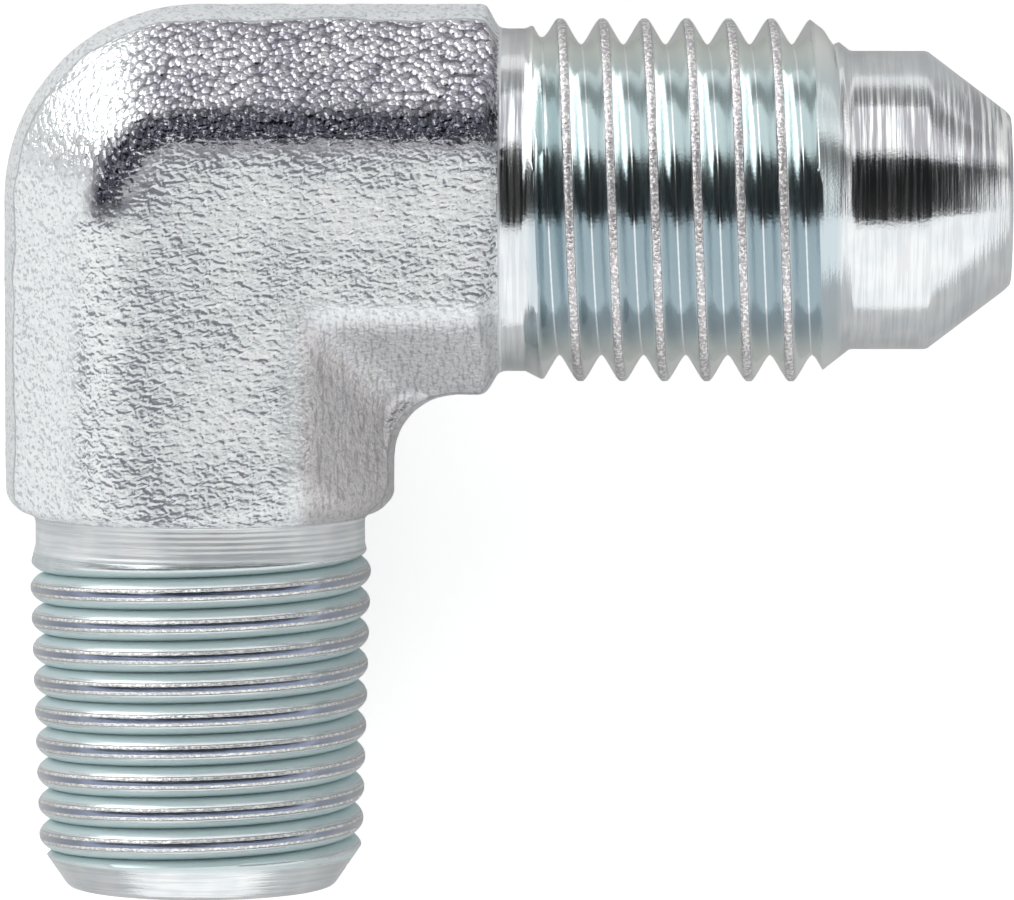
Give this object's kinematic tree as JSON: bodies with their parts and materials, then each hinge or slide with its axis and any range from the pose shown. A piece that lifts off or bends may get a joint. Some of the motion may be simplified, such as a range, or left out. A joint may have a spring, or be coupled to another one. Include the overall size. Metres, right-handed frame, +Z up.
{
  "type": "hydraulic elbow adapter",
  "caption": "Forged steel right-angle fluid adapter with a 37 degree flare nose on a straight thread at one end, a taper pipe thread at the other, and a drilled bore through both arms.",
  "frame": {"origin": "on the lower wrench flat, which the part lies on, straight below the crossing of the two flow axes", "axes": "+X along the flare end's axis, out of its nose; -Y along the pipe end's axis, out of its end; +Z up, square to both wrench flats"},
  "size_m": [0.0305, 0.0268, 0.0111],
  "materials": {
    "zinc_plated_steel": "bright zinc plating, pebbled on the forged faces and turned on both ends"
  },
  "bodies": {
    "root": {"elbow_body": "zinc_plated_steel"}
  },
  "joints": []
}
